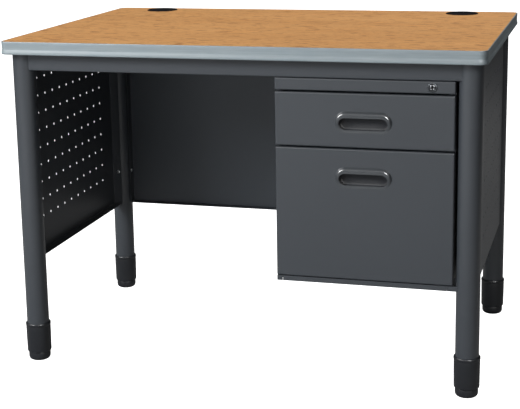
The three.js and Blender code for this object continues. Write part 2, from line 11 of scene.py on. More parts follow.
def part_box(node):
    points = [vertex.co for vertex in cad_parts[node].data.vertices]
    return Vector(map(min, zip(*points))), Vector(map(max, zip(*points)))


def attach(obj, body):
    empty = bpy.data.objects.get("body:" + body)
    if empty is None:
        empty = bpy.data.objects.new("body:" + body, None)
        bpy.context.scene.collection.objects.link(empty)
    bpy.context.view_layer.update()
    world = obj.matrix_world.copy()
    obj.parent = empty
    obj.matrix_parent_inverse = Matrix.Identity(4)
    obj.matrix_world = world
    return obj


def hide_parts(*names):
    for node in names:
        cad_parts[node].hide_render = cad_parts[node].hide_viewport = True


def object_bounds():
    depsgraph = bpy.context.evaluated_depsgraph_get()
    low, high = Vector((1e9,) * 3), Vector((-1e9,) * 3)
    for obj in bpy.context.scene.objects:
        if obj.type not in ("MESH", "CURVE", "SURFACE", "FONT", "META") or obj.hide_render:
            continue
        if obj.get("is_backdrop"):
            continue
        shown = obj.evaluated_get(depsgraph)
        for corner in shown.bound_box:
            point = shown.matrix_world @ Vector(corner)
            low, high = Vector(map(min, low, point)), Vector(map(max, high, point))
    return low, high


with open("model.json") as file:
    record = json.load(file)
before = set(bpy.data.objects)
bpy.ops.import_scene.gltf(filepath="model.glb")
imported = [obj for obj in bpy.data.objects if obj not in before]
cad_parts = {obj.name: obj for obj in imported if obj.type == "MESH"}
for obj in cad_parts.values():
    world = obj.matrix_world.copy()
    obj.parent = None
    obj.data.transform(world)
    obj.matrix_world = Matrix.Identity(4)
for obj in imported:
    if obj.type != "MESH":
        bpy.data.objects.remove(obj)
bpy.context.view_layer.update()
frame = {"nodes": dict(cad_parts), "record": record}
NODES = frame["nodes"]
SCENE = bpy.context.scene
MM = 0.001
CORNERS = ("front_left", "front_right", "rear_left", "rear_right")

# sizes in mm, and the counts of holes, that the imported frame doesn't give
SHEET = 1.2
LEG_WALL = 1.6
TOP_CORNER = 20.0
HOLE_RADIUS = 3.0
HOLE_COLUMNS, HOLE_ROWS = 11, 9
HOLE_PITCH_Y, HOLE_PITCH_Z = 40.9, 41.0
HOLE_FROM_EDGE, HOLE_LOWEST = 25.1, 320.0
PANEL_BEND, SHEET_BEND, FRONT_BEND = 2.5, 2.4, 3.2
BEND_TO_FLAT = 0.8
APRON_COPE = 25.7
MOUTH_DROP = 3.8
HOOD_FOOT, HOOD_RISE = 19, 29
PULL_OPENING = (109.4, 31.8)
LOCK_OPENING = (18.4, 18.4)
SCREW_FLANGE = 2.4
BRACKET_RISE = 16.0


# ---------- mesh helpers ----------
def link_mesh(name, verts, faces, sharp_deg=30.0):
    """A mesh object with smooth faces, and sharp edges where it turns more than sharp_deg."""
    mesh = bpy.data.meshes.new(name)
    mesh.from_pydata([tuple(v) for v in verts], [], faces)
    bm = bmesh.new()
    bm.from_mesh(mesh)
    bmesh.ops.remove_doubles(bm, verts=bm.verts, dist=1e-7)
    bmesh.ops.recalc_face_normals(bm, faces=bm.faces)
    for f in bm.faces:
        f.smooth = True
    limit = math.radians(sharp_deg)
    for e in bm.edges:
        e.smooth = len(e.link_faces) == 2 and e.calc_face_angle(0.0) < limit
    bm.to_mesh(mesh)
    bm.free()
    obj = bpy.data.objects.new(name, mesh)
    SCENE.collection.objects.link(obj)
    return obj


def loft(name, loops, start=None, end=None, closed=False, sharp_deg=30.0):
    """Quads between loops of equal length; start and end are centre points that close the ends."""
    count = len(loops[0])
    verts = [p for loop in loops for p in loop]
    faces = []
    rows = len(loops)
    for r in range(rows if closed else rows - 1):
        a, b = r * count, ((r + 1) % rows) * count
        for i in range(count):
            j = (i + 1) % count
            faces.append((a + i, a + j, b + j, b + i))
    for centre, row in ((start, 0), (end, rows - 1)):
        if centre is not None:
            verts.append(centre)
            tip = len(verts) - 1
            for i in range(count):
                faces.append((row * count + i, row * count + (i + 1) % count, tip))
    return link_mesh(name, verts, faces, sharp_deg)


def turned(name, profile, origin, axis="Z", count=64, closed=False):
    """A piece turned about Z or Y. profile holds (radius, place along the axis), all in mm."""
    px, py, pz = origin

    def at(r, h, k):
        a = 2 * math.pi * k / count
        c, s = r * math.cos(a), r * math.sin(a)
        spot = (px + c, py + s, h) if axis == "Z" else (px + c, h, pz + s)
        return Vector(spot) * MM

    loops = [[at(r, h, k) for k in range(count)] for r, h in profile if r > 1e-6]
    start = at(0, profile[0][1], 0) if profile[0][0] <= 1e-6 else None
    end = at(0, profile[-1][1], 0) if profile[-1][0] <= 1e-6 else None
    return loft(name, loops, start, end, closed)


def rounded_rect(x0, x1, z0, z1, r, corner=6):
    """Points round a rectangle in a plane, counter-clockwise from the lower right corner."""
    points = []
    for cx, cz, start in ((x1 - r, z0 + r, -90), (x1 - r, z1 - r, 0),
                          (x0 + r, z1 - r, 90), (x0 + r, z0 + r, 180)):
        for i in range(corner + 1):
            a = math.radians(start + 90 * i / corner)
            points.append((cx + r * math.cos(a), cz + r * math.sin(a)))
    return points


def resample(points, angles, centre):
    """Where rays at the given angles from a centre meet a closed outline."""
    cx, cz = centre
    found = []
    n = len(points)
    for a in angles:
        dx, dz = math.cos(a), math.sin(a)
        best = None
        for i in range(n):
            ax, az = points[i][0] - cx, points[i][1] - cz
            bx, bz = points[(i + 1) % n][0] - cx, points[(i + 1) % n][1] - cz
            ex, ez = bx - ax, bz - az
            det = dx * -ez + dz * ex
            if abs(det) < 1e-12:
                continue
            t = (ax * -ez + az * ex) / det
            s = (dx * az - dz * ax) / det
            if t > 0 and -1e-9 <= s <= 1 + 1e-9 and (best is None or t < best):
                best = t
        found.append((cx + dx * best, cz + dz * best))
    return found


def stadium_outline(width, height, cx, cz, steps=48):
    """A slot with round ends, counter-clockwise from its lower right."""
    r = height / 2
    half = max(width / 2 - r, 0)
    points = []
    for i in range(steps + 1):
        a = -math.pi / 2 + math.pi * i / steps
        points.append((cx + half + r * math.cos(a), cz + r * math.sin(a)))
    for i in range(steps + 1):
        a = math.pi / 2 + math.pi * i / steps
        points.append((cx - half + r * math.cos(a), cz + r * math.sin(a)))
    return points


def box_mm(node):
    """The low and high corners of a CAD node's box, in mm."""
    low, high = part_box(node)
    return [v / MM for v in low], [v / MM for v in high]


def centre_mm(node):
    """The middle of a CAD node's box, in mm."""
    low, high = box_mm(node)
    return [(a + b) / 2 for a, b in zip(low, high)]


# ---------- node material helpers ----------
def linear(rgb):
    """sRGB 0-255 to linear."""
    out = []
    for c in rgb:
        c = c / 255
        out.append(c / 12.92 if c <= 0.04045 else ((c + 0.055) / 1.055) ** 2.4)
    return (*out, 1.0)


def shaded(colour, share):
    """A colour with its light scaled by share."""
    return (*(c * share for c in colour[:3]), 1.0)


class Material:
    """A Principled material whose patterns are laid out in the object's own coordinates."""

    def __init__(self, name):
        self.mat = bpy.data.materials.new(name)
        self.mat.use_nodes = True
        self.tree = self.mat.node_tree
        self.bsdf = self.tree.nodes["Principled BSDF"]
        self.coords = self.tree.nodes.new("ShaderNodeTexCoord").outputs["Object"]

    def node(self, kind, **values):
        n = self.tree.nodes.new(kind)
        for k, v in values.items():
            setattr(n, k, v)
        return n

    def link(self, a, b):
        self.tree.links.new(a, b)

    def scaled(self, scale, offset=(0, 0, 0)):
        m = self.node("ShaderNodeMapping")
        m.inputs["Scale"].default_value = scale
        m.inputs["Location"].default_value = offset
        self.link(self.coords, m.inputs["Vector"])
        return m.outputs["Vector"]

    def noise(self, scale, detail=3.0, rough=0.5, offset=(0, 0, 0), distortion=0.0):
        n = self.node("ShaderNodeTexNoise")
        n.inputs["Scale"].default_value = 1.0
        n.inputs["Detail"].default_value = detail
        n.inputs["Roughness"].default_value = rough
        n.inputs["Distortion"].default_value = distortion
        s = scale if isinstance(scale, tuple) else (scale,) * 3
        self.link(self.scaled(s, offset), n.inputs["Vector"])
        return n.outputs["Fac"]

    def span(self, value, low, high, to_low=0.0, to_high=1.0):
        m = self.node("ShaderNodeMapRange")
        m.inputs["From Min"].default_value = low
        m.inputs["From Max"].default_value = high
        m.inputs["To Min"].default_value = to_low
        m.inputs["To Max"].default_value = to_high
        self.link(value, m.inputs["Value"])
        return m.outputs["Result"]

    def mix(self, factor, a, b):
        m = self.node("ShaderNodeMix", data_type="RGBA")
        for value, key in ((factor, 0), (a, 6), (b, 7)):
            if isinstance(value, (tuple, float, int)):
                m.inputs[key].default_value = value
            else:
                self.link(value, m.inputs[key])
        return m.outputs[2]

    def bump(self, height, distance, strength):
        b = self.node("ShaderNodeBump")
        b.inputs["Distance"].default_value = distance
        b.inputs["Strength"].default_value = strength
        self.link(height, b.inputs["Height"])
        return b.outputs["Normal"]

    def set(self, name, value):
        socket = self.bsdf.inputs[name]
        if isinstance(value, (tuple, float, int)):
            socket.default_value = value
        else:
            self.link(value, socket)


def powder_coat(name, rgb, rough=0.42, coat=0.0):
    """Fine-textured paint over steel, with a clear coat where it is asked for."""
    m = Material(name)
    base = linear(rgb)
    dark, light = shaded(base, 0.9), shaded(base, 1.1)
    cloud = m.span(m.noise(5.0, 2.0), 0.3, 0.7)
    speck = m.span(m.noise(1500.0, 1.0), 0.35, 0.65)
    tone = m.mix(m.span(speck, 0, 1, 0.35, 0.65), dark, light)
    colour = m.mix(m.span(cloud, 0, 1, 0.0, 0.25), tone, light)
    m.set("Base Color", colour)
    m.set("Roughness", m.span(m.noise(900.0, 2.0), 0.3, 0.7, rough - 0.06, rough + 0.06))
    m.set("Normal", m.bump(m.noise(650.0, 2.0, 0.6), 0.00012, 0.35))
    m.set("Specular IOR Level", 0.5)
    if coat:
        m.set("Coat Weight", coat)
        m.set("Coat Roughness", 0.17)
    return m.mat


def moulded_plastic(name, rgb, rough, specular=0.5):
    """Fine-grained moulded plastic, a little cloudy."""
    grain = 1100.0
    m = Material(name)
    base = linear(rgb)
    cloud = m.span(m.noise(60.0, 2.0), 0.3, 0.7, 0.0, 0.6)
    m.set("Base Color", m.mix(cloud, base, shaded(base, 1.18)))
    m.set("Roughness", m.span(m.noise(grain, 2.0), 0.3, 0.7, rough - 0.07, rough + 0.07))
    m.set("Normal", m.bump(m.noise(grain, 3.0, 0.6), 0.0001, 0.4))
    m.set("Specular IOR Level", specular)
    return m.mat


def edge_band_material(name, rgb):
    """Extruded vinyl strip: faint streaks along its length and long cloudy patches."""
    m = Material(name)
    base = linear(rgb)
    dark, light = shaded(base, 0.84), shaded(base, 1.14)
    streak = m.noise((9.0, 9.0, 700.0), 3.0, 0.6)
    patch = m.span(m.noise((14.0, 14.0, 60.0), 3.0, 0.6), 0.32, 0.68)
    tone = m.mix(m.span(streak, 0.32, 0.68), dark, light)
    cloudy = m.mix(patch, (base[0] * 0.9, base[1] * 0.95, base[2] * 1.0, 1.0), light)
    m.set("Base Color", m.mix(m.span(streak, 0.2, 0.8, 0.35, 0.65), tone, cloudy))
    m.set("Roughness", m.span(streak, 0.3, 0.7, 0.4, 0.54))
    m.set("Normal", m.bump(streak, 0.00006, 0.3))
    return m.mat


def zinc(name, rgb=(196, 200, 202), rough=0.3):
    """Plated metal with a cloudy, lightly brushed skin."""
    m = Material(name)
    base = linear(rgb)
    brushed = m.noise((60.0, 60.0, 900.0), 2.0)
    m.set("Metallic", 1.0)
    m.set("Base Color", m.mix(m.span(m.noise(90.0, 3.0), 0.35, 0.65), base, shaded(base, 0.8)))
    m.set("Roughness", m.span(brushed, 0.3, 0.7, rough - 0.08, rough + 0.1))
    m.set("Normal", m.bump(m.noise(1200.0, 2.0), 0.00005, 0.25))
    return m.mat


def particle_board(name):
    """Pressed wood chips."""
    m = Material(name)
    chip = m.node("ShaderNodeTexVoronoi")
    m.link(m.scaled((260.0, 260.0, 420.0)), chip.inputs["Vector"])
    chip.inputs["Scale"].default_value = 1.0
    tone = m.span(chip.outputs["Distance"], 0.1, 0.9)
    fine = m.noise(900.0, 3.0)
    both = m.mix(m.span(fine, 0.3, 0.7, 0.1, 0.6), linear((176, 148, 110)), linear((132, 104, 70)))
    m.set("Base Color", m.mix(tone, both, linear((196, 170, 132))))
    m.set("Roughness", 0.85)
    m.set("Normal", m.bump(chip.outputs["Distance"], 0.0003, 0.4))
    return m.mat


def oak_laminate(name):
    """Printed oak: soft bands, fine fibres and short dark pores, all running left to right."""
    m = Material(name)
    band = m.noise((1.6, 16.0, 1.0), 4.0, 0.55, distortion=0.5)
    fibre = m.noise((20.0, 420.0, 1.0), 4.0, 0.62)
    streak = m.noise((13.0, 60.0, 1.0), 3.0, 0.55, offset=(1.3, 4.1, 0.0))
    pore = m.noise((30.0, 82.0, 1.0), 3.0, 0.55, offset=(3.1, 7.7, 0.0))
    pore_fine = m.noise((80.0, 300.0, 1.0), 2.0, 0.5, offset=(9.3, 2.2, 0.0))
    patch = m.noise((5.0, 9.0, 1.0), 2.0)
    light, mid, dark = linear((219, 165, 107)), linear((206, 152, 96)), linear((176, 125, 77))
    tone = m.mix(m.span(band, 0.35, 0.65), light, mid)
    tone = m.mix(m.span(streak, 0.5, 0.68, 0.0, 0.55), tone, linear((225, 161, 94)))
    tone = m.mix(m.span(fibre, 0.38, 0.75, 0.0, 0.55), tone, dark)
    tone = m.mix(m.span(patch, 0.35, 0.75, 0.0, 0.25), tone, mid)
    tone = m.mix(m.span(pore, 0.57, 0.66, 0.0, 0.8), tone, linear((150, 100, 56)))
    tone = m.mix(m.span(pore_fine, 0.58, 0.70, 0.0, 0.6), tone, linear((146, 98, 56)))
    m.set("Base Color", tone)
    m.set("Roughness", m.span(fibre, 0.3, 0.7, 0.5, 0.62))
    m.set("Specular IOR Level", 0.16)
    m.set("Normal", m.bump(pore, 0.00006, 0.3))
    return m.mat


STEEL = powder_coat("charcoal powder coat", (53, 57, 62))
GLOSS = powder_coat("charcoal gloss coat", (52, 56, 60), 0.4, coat=1.0)
# painted shade: a darker coat laid on the pull's cup and the lock plug's face, where shade falls
PAINTED_SHADE = powder_coat("charcoal painted shade coat", (27, 29, 33), 0.6)
LEG = powder_coat("charcoal leg coat", (54, 58, 63), 0.36, coat=0.4)
BLACK = moulded_plastic("black moulded plastic", (27, 29, 33), 0.36)
GROMMET = moulded_plastic("grommet plastic", (11, 10, 15), 0.62, specular=0.12)
BAND = edge_band_material("grey edge band", (122, 132, 136))
OAK = oak_laminate("oak laminate")
CORE = particle_board("particle board")
ZINC = zinc("zinc plate")
LOCK = zinc("lock nickel", (132, 134, 137), 0.3)
LOCK_RIM = zinc("lock dark nickel", (84, 87, 90), 0.42)
SLOT_MATERIAL = {
    "oak_laminate": OAK, "particle_board": CORE, "edge_band": BAND,
    "powder_coated_steel": STEEL, "black_plastic": BLACK, "zinc_plated_steel": ZINC,
}


def place(obj, mat, body, slot, *replaced):
    """Give a piece its material, the body it rides and the CAD nodes it stands for; slot is not
    used.
    """
    obj.data.materials.clear()
    obj.data.materials.append(mat)
    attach(obj, body)
    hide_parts(*replaced)


def paint_shade_faces(obj, mat, takes):
    """Give mat, a darker coat that paints shade, to the faces whose centre, in mm, passes takes."""
    obj.data.materials.append(mat)
    for face in obj.data.polygons:
        face.material_index = 1 if takes(face.center / MM) else 0


# ---------- CAD nodes that stay get their slot's material ----------
for part in frame["record"]["subparts"]:
    node = NODES[part["node"]]
    node.data.materials.clear()
    node.data.materials.append(SLOT_MATERIAL[part["material_slot"]])

# ---------- edge band ----------
(top_x0, top_y0, top_z0), (top_x1, top_y1, top_z1) = box_mm("edge_band")


def desk_outline(inset):
    return rounded_rect(top_x0 + inset, top_x1 - inset, top_y0 + inset, top_y1 - inset,
                        TOP_CORNER - inset, corner=8)


# (how far in from the outline, height): a soft bead below, a leaning face above it
band_section = [
    (3.0, top_z0), (1.6, top_z0), (0.8, top_z0 + 0.3), (0.3, top_z0 + 1.0), (0.0, top_z0 + 2.4),
    (0.0, top_z0 + 4.2), (0.25, top_z0 + 6.0), (0.6, top_z0 + 7.6), (1.0, top_z0 + 9.2),
    (1.35, top_z0 + 10.6), (1.5, top_z0 + 11.8), (1.45, top_z0 + 13.2), (1.2, top_z0 + 16.5),
    (0.85, top_z0 + 21.0), (0.6, top_z1 - 2.4), (0.65, top_z1 - 1.2), (0.9, top_z1 - 0.45),
    (1.4, top_z1), (3.0, top_z1),
]
band = loft("edge_band_strip", [
    [Vector((x, y, z)) * MM for x, y in desk_outline(inset)] for inset, z in band_section
], closed=True, sharp_deg=50)
place(band, BAND, "frame", "edge_band", "edge_band")

# ---------- grommets ----------
CAP_RADIUS = 32.2
SLOT_HALF, SLOT_CENTRE = 9.0, 18.0
LEDGE_DROP = 1.4
PLAY = 0.05


def cap_outline():
    """A circle with a round-ended cable slot cut in from its rim."""
    edge_angle = math.acos(SLOT_HALF / CAP_RADIUS)
    points = []
    for i in range(91):
        a = math.pi - edge_angle + (math.pi + 2 * edge_angle) * i / 90
        points.append((CAP_RADIUS * math.cos(a), CAP_RADIUS * math.sin(a)))
    for i in range(25):
        a = -math.pi * i / 24
        points.append((SLOT_HALF * math.cos(a), SLOT_CENTRE + SLOT_HALF * math.sin(a)))
    return points


def inset_outline(points, d):
    """The cap's outline moved in by d, with the slot's corners held inside the rim."""
    out = []
    for i, (x, y) in enumerate(points):
        ax, ay = points[i - 1]
        bx, by = points[(i + 1) % len(points)]
        tx, ty = bx - ax, by - ay
        size = math.hypot(tx, ty)
        x, y = x - d * ty / size, y + d * tx / size
        within = min(1.0, (CAP_RADIUS - d) / math.hypot(x, y))
        out.append((x * within, y * within))
    return out


def grommet_flange(side, gx, gy, low, high):
    lid = high - 0.005
    deck, ledge = top_z1, top_z1 - LEDGE_DROP
    sleeve = turned(f"{side}_grommet_flange", [
        (34.5, low + 1), (34.5, deck), (40.0, deck), (40.0, deck + 0.5), (39.7, deck + 1.0),
        (39.0, deck + 1.5), (38.0, deck + 1.85), (36.8, lid), (33.4, lid), (32.9, lid - 0.2),
        (32.6, lid - 0.7), (32.6, ledge), (30.6, ledge), (30.6, low + 1), (31.6, low),
        (33.6, low),
    ], (gx, gy, 0), count=96, closed=True)
    place(sleeve, GROMMET, "frame", "black_plastic", f"{side}_grommet_sleeve")


def grommet_disc(side, gx, gy, high):
    outline = cap_outline()
    z0, z1 = top_z1 - LEDGE_DROP + PLAY, high - 0.4
    levels = [(outline, z0), (outline, z1 - 0.8), (inset_outline(outline, 0.25), z1 - 0.3),
              (inset_outline(outline, 0.8), z1), (inset_outline(outline, 2.6), z1),
              (inset_outline(outline, 3.0), z1 - 0.5), (inset_outline(outline, 3.6), z1 - 0.5)]
    count = len(outline)
    verts = [Vector((gx + x, gy + y, z)) * MM for points, z in levels for x, y in points]
    faces = []
    for a in range(0, (len(levels) - 1) * count, count):
        for i in range(count):
            j = (i + 1) % count
            faces.append((a + i, a + j, a + count + j, a + count + i))
    faces.append(tuple(range(count - 1, -1, -1)))
    faces.append(tuple(range((len(levels) - 1) * count, len(levels) * count)))
    cap = link_mesh(f"{side}_grommet_disc", verts, faces)
    place(cap, GROMMET, f"{side}_grommet_cap", "black_plastic", f"{side}_grommet_cap")


for side in ("left", "right"):
    gx, gy, _ = centre_mm(f"{side}_grommet_sleeve")
    (_, _, sleeve_z0), (_, _, sleeve_z1) = box_mm(f"{side}_grommet_sleeve")
    grommet_flange(side, gx, gy, sleeve_z0, sleeve_z1)
    grommet_disc(side, gx, gy, sleeve_z1)

# ---------- legs, foot caps, glides ----------
for corner in CORNERS:
    lx, ly, _ = centre_mm(f"{corner}_leg")
    axis_at = (lx, ly, 0)
    low, high = box_mm(f"{corner}_leg")
    radius = (high[0] - low[0]) / 2
    tube = turned(f"{corner}_leg_tube", [
        (radius, low[2]), (radius, high[2]),
        (radius - LEG_WALL, high[2]), (radius - LEG_WALL, low[2]),
    ], axis_at, closed=True)
    place(tube, LEG, "frame", "powder_coated_steel", f"{corner}_leg")
    (_, _, c0), (_, _, c1) = box_mm(f"{corner}_foot_cap")
    boot = turned(f"{corner}_foot_boot", [
        (25.7, c1 - 1.0), (26.1, c1), (27.3, c1), (28.1, c1 - 0.5), (28.6, c1 - 1.4),
        (28.75, c1 - 2.6), (28.75, c1 - 5.0), (28.6, c1 - 6.0), (28.2, c1 - 6.7),
        (27.95, c1 - 7.4), (28.05, c1 - 8.4), (28.2, c1 - 9.6), (28.1, c1 - 24),
        (27.85, c1 - 44), (27.6, c0 + 4.0), (27.5, c0 + 1.2), (27.1, c0 + 0.4), (26.4, c0),
        (5.3, c0), (5.3, c0 + 12), (25.7, c0 + 12),
    ], axis_at, closed=True)
    place(boot, BLACK, "frame", "black_plastic", f"{corner}_foot_cap")
    (_, _, f0), (_, _, f1) = box_mm(f"{corner}_leveling_glide")
    rise = c0 - 0.5
    pad = turned(f"{corner}_glide_pad", [
        (0, f0), (15.0, f0), (17.8, f0 + 0.25), (20.2, f0 + 0.95), (22.2, f0 + 2.2),
        (23.7, f0 + 4.0), (24.6, f0 + 6.2), (25.0, f0 + 8.8), (25.0, rise - 1.0),
        (24.6, rise - 0.3), (23.9, rise), (5.0, rise), (5.0, f1 - 1.0), (4.2, f1), (0, f1),
    ], axis_at)
    place(pad, BLACK, f"{corner}_glide", "black_plastic", f"{corner}_leveling_glide")


# ---------- pans: folded sheet with flanges all round ----------
def perforated_panel(name, sign, node):
    """A side panel with its grid of holes; sign is -1 for the left one, whose skin is at low x."""
    (x0, y0, z0), (x1, y1, z1) = box_mm(node)
    outer, lip = (x0, x1) if sign < 0 else (x1, x0)
    inner = outer - sign * SHEET
    first_y, first_z = y0 + HOLE_FROM_EDGE, HOLE_LOWEST
    verts, faces, index = [], [], {}

    def vert(x, y, z):
        key = (round(x, 3), round(y, 3), round(z, 3))
        if key not in index:
            index[key] = len(verts)
            verts.append(Vector((x, y, z)) * MM)
        return index[key]

    steps = 4
    along = [i / steps for i in range(steps)]
    square = [(0.5, -0.5 + t) for t in along] + [(0.5 - t, 0.5) for t in along]
    square += [(-0.5, 0.5 - t) for t in along] + [(-0.5 + t, -0.5) for t in along]
    count = len(square)
    for c in range(HOLE_COLUMNS):
        for r in range(HOLE_ROWS):
            cy, cz = first_y + c * HOLE_PITCH_Y, first_z + r * HOLE_PITCH_Z
            rims = []
            for x in (inner, outer):
                cell, rim = [], []
                for sy, sz in square:
                    a = math.atan2(sz, sy)
                    cell.append(vert(x, cy + sy * HOLE_PITCH_Y, cz + sz * HOLE_PITCH_Z))
                    rim.append(vert(x, cy + HOLE_RADIUS * math.cos(a),
                                    cz + HOLE_RADIUS * math.sin(a)))
                rims.append(rim)
                for i in range(count):
                    j = (i + 1) % count
                    faces.append((cell[i], cell[j], rim[j], rim[i]))
            for i in range(count):
                j = (i + 1) % count
                faces.append((rims[0][i], rims[0][j], rims[1][j], rims[1][i]))
    # the border of the field, walked counter-clockwise
    gy0, gy1 = first_y - HOLE_PITCH_Y / 2, first_y + (HOLE_COLUMNS - 0.5) * HOLE_PITCH_Y
    gz0, gz1 = first_z - HOLE_PITCH_Z / 2, first_z + (HOLE_ROWS - 0.5) * HOLE_PITCH_Z
    up = [HOLE_PITCH_Z * i / steps for i in range(HOLE_ROWS * steps)]
    over = [HOLE_PITCH_Y * i / steps for i in range(HOLE_COLUMNS * steps)]
    border = [(gy1, gz0 + d) for d in up] + [(gy1 - d, gz1) for d in over]
    border += [(gy0, gz1 - d) for d in up] + [(gy0 + d, gz0) for d in over]

    def frame_loop(inset, x):
        """The border's points moved out to the panel's outline, less an inset."""
        loop = []
        for y, z in border:
            ny = (y - gy0) / (gy1 - gy0)
            nz = (z - gz0) / (gz1 - gz0)
            py = y0 + inset + ny * (y1 - y0 - 2 * inset)
            pz = z0 + inset + nz * (z1 - z0 - 2 * inset)
            loop.append(vert(x, py, pz))
        return loop

    bend, turn = PANEL_BEND, [math.radians(a) for a in (0, 22.5, 45, 67.5, 90)]
    loops = [[vert(outer, y, z) for y, z in border], frame_loop(bend + 1.0, outer)]
    for a in turn:
        depth = bend * (1 - math.cos(a))
        loops.append(frame_loop(bend * (1 - math.sin(a)), outer - sign * depth))
    loops += [frame_loop(0.0, lip + sign * 0.3), frame_loop(0.3, lip),
              frame_loop(0.9, lip), frame_loop(SHEET, lip + sign * 0.3)]
    for a in reversed(turn):
        r = bend - SHEET
        depth = r * (1 - math.cos(a))
        loops.append(frame_loop(SHEET + r * (1 - math.sin(a)), inner - sign * depth))
    loops += [frame_loop(bend + 1.0, inner), [vert(inner, y, z) for y, z in border]]
    for a, b in zip(loops, loops[1:]):
        for i in range(len(border)):
            j = (i + 1) % len(border)
            faces.append((a[i], a[j], b[j], b[i]))
    return link_mesh(name, verts, faces)


for side, sign in (("left", -1), ("right", 1)):
    panel = perforated_panel(f"{side}_perforated_panel", sign, f"{side}_side_panel")
    place(panel, STEEL, "frame", "powder_coated_steel", f"{side}_side_panel")


def pan(name, outline_at, depth_at, bend, mouth, hole=None):
    """A folded pan. outline_at(inset) gives loop points in the pan's plane, depth_at(u, v, depth)
    places them; depth 0 is the skin and mouth is how far back the flanges reach."""
    turn = [math.radians(a) for a in (0, 18, 36, 54, 72, 90)]
    inner = max(bend - SHEET, 0.3)
    flat = bend + BEND_TO_FLAT
    plan = [(outline_at(flat), 0.0)]
    plan += [(outline_at(bend * (1 - math.sin(a))), bend * (1 - math.cos(a))) for a in turn]
    plan += [(outline_at(0.0), mouth), (outline_at(SHEET), mouth)]
    plan += [(outline_at(SHEET + inner * (1 - math.sin(a))), SHEET + inner * (1 - math.cos(a)))
             for a in reversed(turn)]
    plan.append((outline_at(flat), SHEET))
    if hole:
        plan = [(hole(0.0), 0.0), (hole(0.4), 0.0), *plan, (hole(0.4), SHEET), (hole(0.0), SHEET)]
    loops = [[depth_at(u, v, depth) for u, v in points] for points, depth in plan]
    if hole:
        return loft(name, loops, closed=True)
    mid = outline_at(flat)
    cu = sum(p[0] for p in mid) / len(mid)
    cv = sum(p[1] for p in mid) / len(mid)
    return loft(name, loops, start=depth_at(cu, cv, 0.0), end=depth_at(cu, cv, SHEET))


# ---------- modesty panel ----------
(mx0, my0, mz0), (mx1, my1, mz1) = box_mm("modesty_panel")
modesty = pan(
    "modesty_sheet",
    lambda inset: rounded_rect(mx0 + inset, mx1 - inset, mz0 + inset, mz1 - inset, 1.0),
    lambda u, v, depth: Vector((u, my1 - depth, v)) * MM, SHEET_BEND, my1 - my0)
place(modesty, STEEL, "frame", "powder_coated_steel", "modesty_panel")


# ---------- front apron, coped round the front legs ----------
def apron_section(y0, z0, y1, z1):
    """The apron's folded channel, from its lower rear edge round the face and back inside."""
    steps, inner_steps = (0, 22.5, 45, 67.5, 90), (0, 30, 60, 90)

    def fold(angle, radius, skin):
        t = math.radians(angle)
        return skin + radius * (1 - math.sin(t)), skin + radius * (1 - math.cos(t))

    outer = [fold(a, SHEET_BEND, 0.0) for a in steps]
    inner = [fold(a, SHEET_BEND - SHEET, SHEET) for a in inner_steps]
    points = [(y1, z0)] + [(y0 + back, z0 + rise) for back, rise in outer]
    points += [(y0 + back, z1 - rise) for back, rise in reversed(outer)]
    points += [(y1, z1), (y1, z1 - SHEET)]
    points += [(y0 + back, z1 - rise) for back, rise in inner]
    points += [(y0 + back, z0 + rise) for back, rise in reversed(inner)]
    return points + [(y1, z0 + SHEET)]


def coped_apron(name, node):
    """The section run from leg to leg, each end following the leg's round."""
    (_, y0, z0), (_, y1, z1) = box_mm(node)
    section = apron_section(y0, z0, y1, z1)
    leg_x, leg_y, _ = centre_mm("front_right_leg")

    def end_loop(sign, inset):
        reach = [leg_x - math.sqrt(APRON_COPE ** 2 - (y - leg_y) ** 2) - inset for y, _ in section]
        return [Vector((sign * x, y, z)) * MM for x, (y, z) in zip(reach, section)]

    piece = loft(name, [end_loop(-1, 0.0), end_loop(-1, 1.0), end_loop(1, 1.0), end_loop(1, 0.0)])
    bm = bmesh.new()
    bm.from_mesh(piece.data)
    bmesh.ops.holes_fill(bm, edges=[e for e in bm.edges if len(e.link_faces) == 1])
    bmesh.ops.triangulate(bm, faces=[f for f in bm.faces if len(f.verts) > 4])
    bmesh.ops.recalc_face_normals(bm, faces=bm.faces)
    bm.to_mesh(piece.data)
    bm.free()
    place(piece, STEEL, "frame", "powder_coated_steel", node)


coped_apron("front_apron_rail", "front_apron")


# ---------- screws ----------
def screw_head(name, seat, outward, across):
    """A pan head with a cross recess. seat is the centre of its seat in mm, outward its axis."""
    count = 48
    seat, out, side = Vector(seat), Vector(outward), Vector(across)
    up = out.cross(side)

    def loop(radius, h, cross=0.0):
        """cross is the share of the radius that the recess's inner corners are drawn in by."""
        points = []
        for k in range(count):
            a = 2 * math.pi * k / count
            r = radius * (1 - cross * abs(math.sin(2 * a)) ** 0.5) if cross else radius
            points.append((seat + out * h + (side * math.cos(a) + up * math.sin(a)) * r) * MM)
        return points

    shank, recess_floor = 6.5, 0.9
    loops = [loop(2.3, -shank), loop(2.3, 0.0), loop(4.6, 0.0), loop(4.55, 0.7), loop(4.2, 1.4),
             loop(3.5, 2.0), loop(2.6, 2.35), loop(2.5, 2.38, 0.55), loop(1.8, 1.0, 0.6)]
    return loft(name, loops, start=(seat - out * shank) * MM,
                end=(seat + out * recess_floor) * MM)


for side, sign in (("left", -1), ("right", 1)):
    node = f"{side}_panel_screw"
    x, _, z = centre_mm(node)
    seat_y = box_mm(node)[0][1] + SCREW_FLANGE
    head = screw_head(f"{node}_head", (x, seat_y, z), (0, -1, 0), (1, 0, 0))
    place(head, ZINC, "frame", "zinc_plated_steel", node)
    node = f"{side}_modesty_screw"
    _, y, z = centre_mm(node)
    low, high = box_mm(node)
    seat_x = high[0] - SCREW_FLANGE if sign < 0 else low[0] + SCREW_FLANGE
    head = screw_head(f"{node}_head", (seat_x, y, z), (-sign, 0, 0), (0, 1, 0))
    place(head, ZINC, "frame", "zinc_plated_steel", node)

# ---------- drawer fronts and lock strip ----------
PULL_ANGLES = [2 * math.pi * i / 160 for i in range(160)]
RAYS = 128


